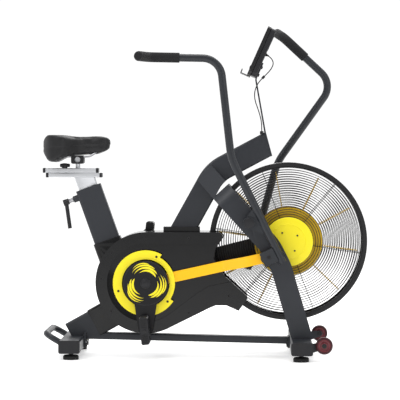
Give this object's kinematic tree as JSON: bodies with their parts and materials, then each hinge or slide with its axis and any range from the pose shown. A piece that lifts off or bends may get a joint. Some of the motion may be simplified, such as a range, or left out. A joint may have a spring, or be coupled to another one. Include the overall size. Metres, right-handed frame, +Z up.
{
  "type": "air bike",
  "caption": "Upright air bike: wire-caged fan wheel, crank with pedals, two swinging arms linked by rods, adjustable saddle, console and floor stabilisers.",
  "frame": {"origin": "on the floor, under the middle of the bike's bounding box", "axes": "+X forward to the fan, +Y to the rider's left, +Z up"},
  "size_m": [1.262, 0.59, 1.286],
  "materials": {
    "frame_black": "satin powder coat",
    "casing_black": "gloss moulded plastic",
    "trim_black": "matt moulded plastic",
    "bright_yellow": "semi-gloss",
    "rod_orange": "gloss paint",
    "bare_steel": "zinc plated",
    "seat_silver": "brushed",
    "black_rubber": "matt",
    "wheel_red": "semi-gloss",
    "saddle_vinyl": "fine grain vinyl",
    "screen_glass": "dark gloss"
  },
  "bodies": {
    "frame": {"rear_stabilizer": "frame_black", "front_stabilizer": "frame_black", "stabilizer_end_caps": "trim_black", "base_rail": "frame_black", "rear_strut": "frame_black", "seat_tube": "frame_black", "bottom_bracket": "frame_black", "main_tube": "frame_black", "fork_leg_right": "frame_black", "fork_leg_left": "frame_black", "fan_bearing_plates": "frame_black", "casing_right": "casing_black", "casing_left": "casing_black", "ring_covers": "bright_yellow", "cage_rim": "frame_black", "cage_grilles": "frame_black", "cage_caps": "bright_yellow", "belt_guard": "trim_black", "drive_belts": "black_rubber", "jackshaft_bracket": "frame_black", "console_bracket": "frame_black", "console_housing": "trim_black", "console_front": "trim_black", "console_screen": "screen_glass", "tablet_shelf": "trim_black", "sensor_cable": "black_rubber", "cable_fittings": "trim_black", "rear_handle": "frame_black", "frame_fasteners": "bare_steel"},
    "crankset": {"crank_axle": "bare_steel", "crank_arm_right": "frame_black", "crank_arm_left": "frame_black", "crank_pulley": "seat_silver"},
    "right_pedal": {"pedal_right": "trim_black"},
    "left_pedal": {"pedal_left": "trim_black"},
    "jackshaft_set": {"jackshaft": "seat_silver"},
    "fan": {"fan_wheel": "bright_yellow", "fan_blades": "bright_yellow", "fan_pulley": "seat_silver"},
    "right_arm": {"swing_arm_right": "frame_black", "grip_right": "black_rubber"},
    "left_arm": {"swing_arm_left": "frame_black", "grip_left": "black_rubber"},
    "right_rod": {"link_rod_right": "rod_orange"},
    "left_rod": {"link_rod_left": "rod_orange"},
    "right_wheel": {"wheel_right": "wheel_red"},
    "left_wheel": {"wheel_left": "wheel_red"},
    "seat_mast": {"seat_post": "seat_silver"},
    "seat_carriage": {"seat_slider": "seat_silver"},
    "carriage_knob": {"slide_knob": "trim_black"},
    "seat_top": {"saddle": "saddle_vinyl", "saddle_clamp": "trim_black"},
    "mast_lever": {"seat_lever": "frame_black"},
    "foot_1": {"leveling_foot_1": "black_rubber"},
    "foot_2": {"leveling_foot_2": "black_rubber"},
    "foot_3": {"leveling_foot_3": "black_rubber"},
    "foot_4": {"leveling_foot_4": "black_rubber"},
    "button_1": {"console_button_1": "trim_black"},
    "button_2": {"console_button_2": "trim_black"},
    "button_3": {"console_button_3": "trim_black"}
  },
  "joints": [
    {"name": "crank_spin", "type": "hinge", "parent": "frame", "child": "crankset", "pos_m": [-0.225, 0, 0.2855], "axis": [0, 1, 0], "continuous": true},
    {"name": "jackshaft_spin", "type": "hinge", "parent": "frame", "child": "jackshaft_set", "pos_m": [-0.012, 0, 0.351], "axis": [0, 1, 0], "continuous": true},
    {"name": "fan_spin", "type": "hinge", "parent": "frame", "child": "fan", "pos_m": [0.325, 0, 0.445], "axis": [0, 1, 0], "continuous": true},
    {"name": "pedal_right_spin", "type": "hinge", "parent": "crankset", "child": "right_pedal", "pos_m": [-0.225, -0.173, 0.1105], "axis": [0, 1, 0], "continuous": true},
    {"name": "pedal_left_spin", "type": "hinge", "parent": "crankset", "child": "left_pedal", "pos_m": [-0.225, 0.173, 0.4605], "axis": [0, 1, 0], "continuous": true},
    {"name": "arm_right_swing", "type": "hinge", "parent": "frame", "child": "right_arm", "pos_m": [0.1728, -0.173, 0.5218], "axis": [0, 1, 0], "range_deg": [0, 42]},
    {"name": "arm_left_swing", "type": "hinge", "parent": "frame", "child": "left_arm", "pos_m": [0.1728, 0.173, 0.5218], "axis": [0, 1, 0], "range_deg": [-42, 0]},
    {"name": "rod_right_pivot", "type": "hinge", "parent": "right_arm", "child": "right_rod", "pos_m": [0.2406, -0.151, 0.3884], "axis": [0, 1, 0], "range_deg": [-45, 0]},
    {"name": "rod_left_pivot", "type": "hinge", "parent": "left_arm", "child": "left_rod", "pos_m": [0.13392, 0.151, 0.3773], "axis": [0, 1, 0], "range_deg": [0, 45]},
    {"name": "wheel_right_spin", "type": "hinge", "parent": "frame", "child": "right_wheel", "pos_m": [0.457, -0.25, 0.06], "axis": [0, 1, 0], "continuous": true},
    {"name": "wheel_left_spin", "type": "hinge", "parent": "frame", "child": "left_wheel", "pos_m": [0.457, 0.25, 0.06], "axis": [0, 1, 0], "continuous": true},
    {"name": "seat_height", "type": "slide", "parent": "frame", "child": "seat_mast", "axis": [-0.3355, 0, 0.9421], "range_m": [0, 0.18]},
    {"name": "seat_slide", "type": "slide", "parent": "seat_mast", "child": "seat_carriage", "axis": [1, 0, 0], "range_m": [-0.06, 0.06]},
    {"name": "slide_knob_turn", "type": "hinge", "parent": "seat_carriage", "child": "carriage_knob", "pos_m": [-0.547, 0, 0.74], "axis": [0, 0, 1], "continuous": true},
    {"name": "saddle_tilt", "type": "hinge", "parent": "seat_carriage", "child": "seat_top", "pos_m": [-0.495, 0, 0.761], "axis": [0, 1, 0], "range_deg": [-8, 8]},
    {"name": "seat_lever_turn", "type": "hinge", "parent": "frame", "child": "mast_lever", "pos_m": [-0.44578, 0, 0.62841], "axis": [-0.9421, 0, -0.3355], "range_deg": [-90, 90]},
    {"name": "foot_1_height", "type": "slide", "parent": "frame", "child": "foot_1", "axis": [0, 0, -1], "range_m": [0, 0.01]},
    {"name": "foot_2_height", "type": "slide", "parent": "frame", "child": "foot_2", "axis": [0, 0, -1], "range_m": [0, 0.01]},
    {"name": "foot_3_height", "type": "slide", "parent": "frame", "child": "foot_3", "axis": [0, 0, -1], "range_m": [0, 0.01]},
    {"name": "foot_4_height", "type": "slide", "parent": "frame", "child": "foot_4", "axis": [0, 0, -1], "range_m": [0, 0.01]},
    {"name": "button_1_press", "type": "slide", "parent": "frame", "child": "button_1", "axis": [0.9135, 0, -0.4067], "range_m": [0, 0.0015], "stiffness_N_per_m": 300, "springref_m": -0.001},
    {"name": "button_2_press", "type": "slide", "parent": "frame", "child": "button_2", "axis": [0.9135, 0, -0.4067], "range_m": [0, 0.0015], "stiffness_N_per_m": 300, "springref_m": -0.001},
    {"name": "button_3_press", "type": "slide", "parent": "frame", "child": "button_3", "axis": [0.9135, 0, -0.4067], "range_m": [0, 0.0015], "stiffness_N_per_m": 300, "springref_m": -0.001}
  ],
  "couplings": [
    {"joint": "jackshaft_spin", "follows": "crank_spin", "ratio": 3.6667},
    {"joint": "fan_spin", "follows": "crank_spin", "ratio": 4.7143},
    {"joint": "arm_left_swing", "follows": "arm_right_swing", "ratio": -1},
    {"joint": "rod_right_pivot", "follows": "arm_right_swing", "ratio": -1.0449},
    {"joint": "rod_left_pivot", "follows": "arm_right_swing", "ratio": 1.0449}
  ]
}
